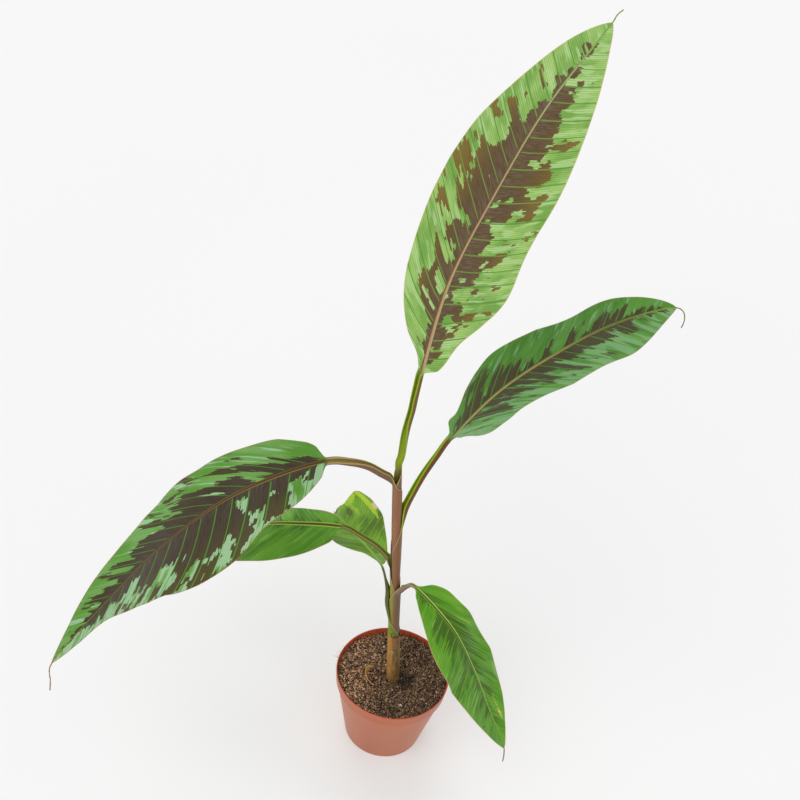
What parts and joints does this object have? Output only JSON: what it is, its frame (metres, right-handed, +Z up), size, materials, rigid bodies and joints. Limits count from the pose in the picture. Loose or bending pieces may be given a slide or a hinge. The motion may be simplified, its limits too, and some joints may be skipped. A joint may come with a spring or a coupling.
{
  "type": "potted banana plant",
  "caption": "Young banana plant with long dark-blotched leaves on a stem of rolled sheaths, growing in a tapered plastic nursery pot of soil that rests on its flat base.",
  "frame": {"origin": "middle of the pot's flat underside", "axes": "+Z up along the pot's axis; +X to the right and +Y away, as seen from the side the picture shows; the tallest leaf leans towards +X and +Y, the longest drooping leaf towards -X"},
  "size_m": [0.5447, 0.312, 0.8033],
  "materials": {
    "pot": "satin",
    "soil": "matte",
    "corm": "matte",
    "dry_sheath": "matte",
    "young_leaf": "satin",
    "green_leaf": "satin",
    "dark_leaf": "satin",
    "light_leaf": "satin"
  },
  "bodies": {
    "root": {"pot": "pot", "soil": "soil", "corm": "corm", "old_sheath": "dry_sheath", "dry_scale": "dry_sheath", "leaf_1": "young_leaf", "leaf_2": "green_leaf", "leaf_3": "green_leaf", "leaf_4": "dark_leaf", "leaf_5": "dark_leaf", "leaf_6": "light_leaf"}
  },
  "joints": []
}
